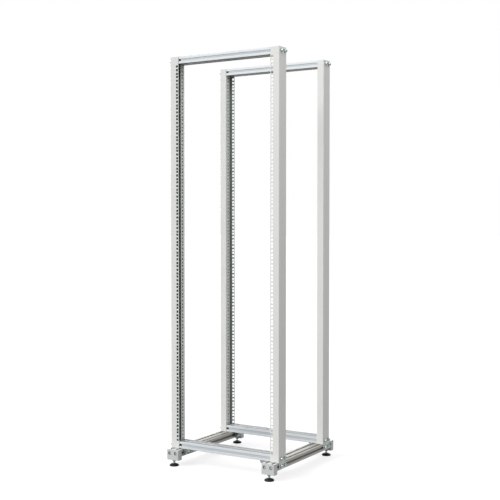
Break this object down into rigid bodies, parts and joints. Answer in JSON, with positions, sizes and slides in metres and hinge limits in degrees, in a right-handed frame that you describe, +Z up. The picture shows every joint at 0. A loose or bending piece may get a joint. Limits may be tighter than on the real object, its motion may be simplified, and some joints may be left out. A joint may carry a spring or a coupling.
{
  "type": "four post open frame rack",
  "caption": "Open frame rack for 19 inch equipment: perforated sheet steel posts tied by T-slot beams, standing on two T-slot rails with levelling feet.",
  "frame": {"origin": "on the floor, below the middle of the rack's width and depth", "axes": "+X to the right, +Y from the front equipment face to the rear one, +Z up along the posts"},
  "size_m": [0.532, 0.542, 1.7342],
  "materials": {
    "post_paint": "satin",
    "beam_aluminium": "satin",
    "rail_aluminium": "satin",
    "bracket_aluminium": "satin",
    "block_paint": "satin",
    "foot_steel": "satin",
    "pad_rubber": "matte"
  },
  "bodies": {
    "root": {"front_top_beam": "beam_aluminium", "front_bottom_beam": "beam_aluminium", "rear_top_beam": "beam_aluminium", "rear_bottom_beam": "beam_aluminium", "left_side_rail": "rail_aluminium", "right_side_rail": "rail_aluminium", "front_left_post": "post_paint", "front_left_foot_block": "block_paint", "front_left_foot_pad": "pad_rubber", "front_left_foot_stud": "foot_steel", "front_left_corner_bracket": "bracket_aluminium", "front_right_post": "post_paint", "front_right_foot_block": "block_paint", "front_right_foot_pad": "pad_rubber", "front_right_foot_stud": "foot_steel", "front_right_corner_bracket": "bracket_aluminium", "rear_left_post": "post_paint", "rear_left_foot_block": "block_paint", "rear_left_foot_pad": "pad_rubber", "rear_left_foot_stud": "foot_steel", "rear_left_corner_bracket": "bracket_aluminium", "rear_right_post": "post_paint", "rear_right_foot_block": "block_paint", "rear_right_foot_pad": "pad_rubber", "rear_right_foot_stud": "foot_steel", "rear_right_corner_bracket": "bracket_aluminium"}
  },
  "joints": []
}
